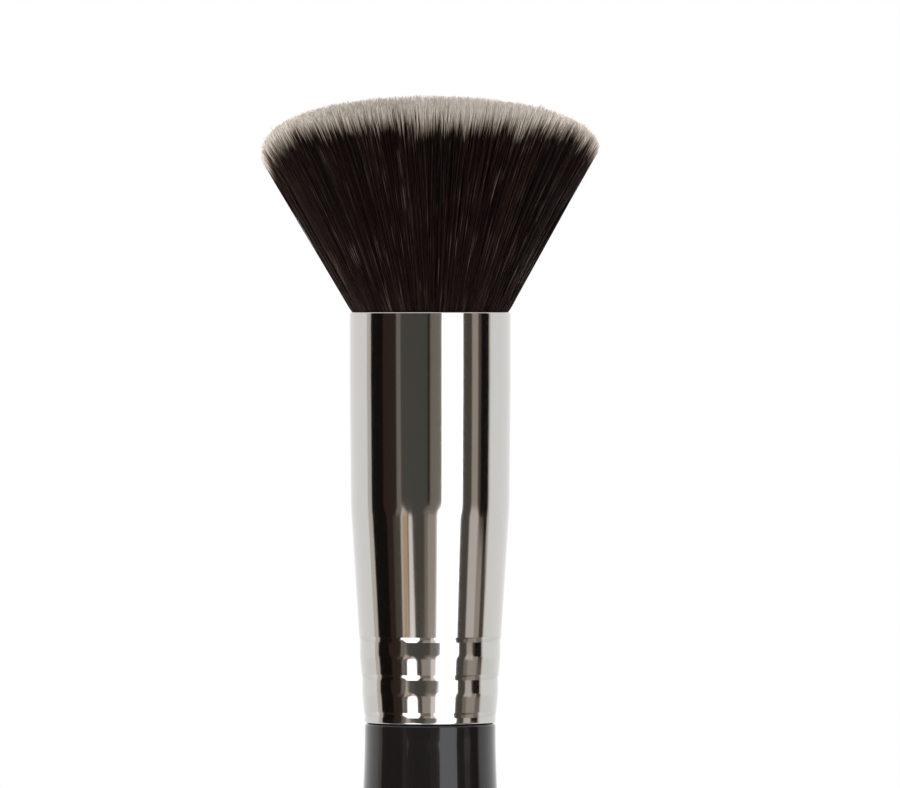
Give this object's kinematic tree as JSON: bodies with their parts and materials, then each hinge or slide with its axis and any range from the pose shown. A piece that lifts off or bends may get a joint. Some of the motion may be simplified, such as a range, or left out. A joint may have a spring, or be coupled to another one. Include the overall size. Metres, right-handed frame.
{
  "type": "angled blending brush",
  "caption": "Make-up brush with a fanned, slant-topped head of dark pale-tipped filaments in a bright crimped ferrule on a slim turned handle, for blending powder or cream.",
  "frame": {"origin": "centre of the flat face at the handle's butt end, which the brush stands on", "axes": "+Z along the brush's axis from the butt to the filaments, -Y towards the tall side of the slanted head, +X to the right when the tall side faces the viewer"},
  "size_m": [0.0341, 0.0344, 0.1707],
  "materials": {
    "handle_lacquer": "turned hardwood under glossy black lacquer",
    "ferrule_plate": "drawn metal tube, polished and bright plated",
    "filament": "tapered synthetic filament, dark brown with pale greige tips",
    "epoxy": "cast amber epoxy with filament roots in it",
    "adhesive": "set clear adhesive",
    "thread": "waxed twisted thread"
  },
  "bodies": {
    "root": {"handle": "handle_lacquer", "ferrule": "ferrule_plate", "tenon_adhesive": "adhesive", "root_epoxy_plug": "epoxy", "binding_thread": "thread", "bristle_tuft": "filament"}
  },
  "joints": []
}
